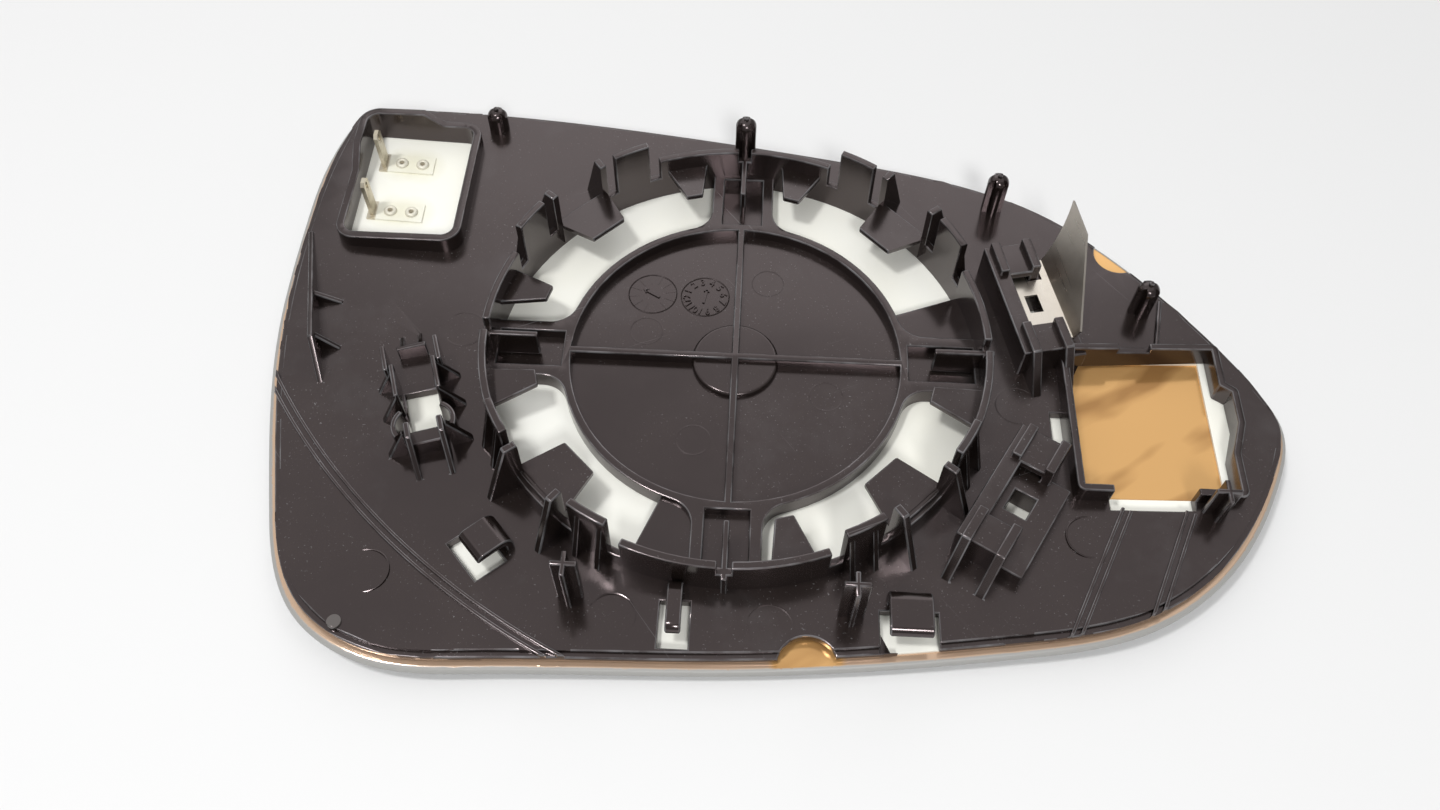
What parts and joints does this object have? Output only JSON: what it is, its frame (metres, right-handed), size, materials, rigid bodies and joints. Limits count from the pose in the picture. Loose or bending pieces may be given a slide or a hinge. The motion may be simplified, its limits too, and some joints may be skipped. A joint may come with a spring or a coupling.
{
  "type": "car door mirror glass",
  "caption": "Curved door mirror glass lying face down, with a heater mat and a dark plastic carrier plate whose snap ring takes the mirror adjuster.",
  "frame": {"origin": "on the snap ring's axis, at the lowest point of the glass front", "axes": "+X along the glass towards its narrow end, +Y towards its upper edge, +Z out of its back"},
  "size_m": [0.1895, 0.1263, 0.0196],
  "materials": {
    "glass": "copper-coloured mirror back, ground edge",
    "mat": "cream film",
    "plate": "black moulded plastic, semi-gloss",
    "terminal": "dull tin",
    "rivet": "dull tin",
    "clip": "bright spring steel"
  },
  "bodies": {
    "root": {"mirror_glass": "glass", "heater_mat": "mat", "carrier_plate": "plate", "heater_terminal_1": "terminal", "heater_terminal_2": "terminal", "heater_rivet_1": "rivet", "heater_rivet_2": "rivet", "heater_rivet_3": "rivet", "heater_rivet_4": "rivet", "spring_clip": "clip"}
  },
  "joints": []
}
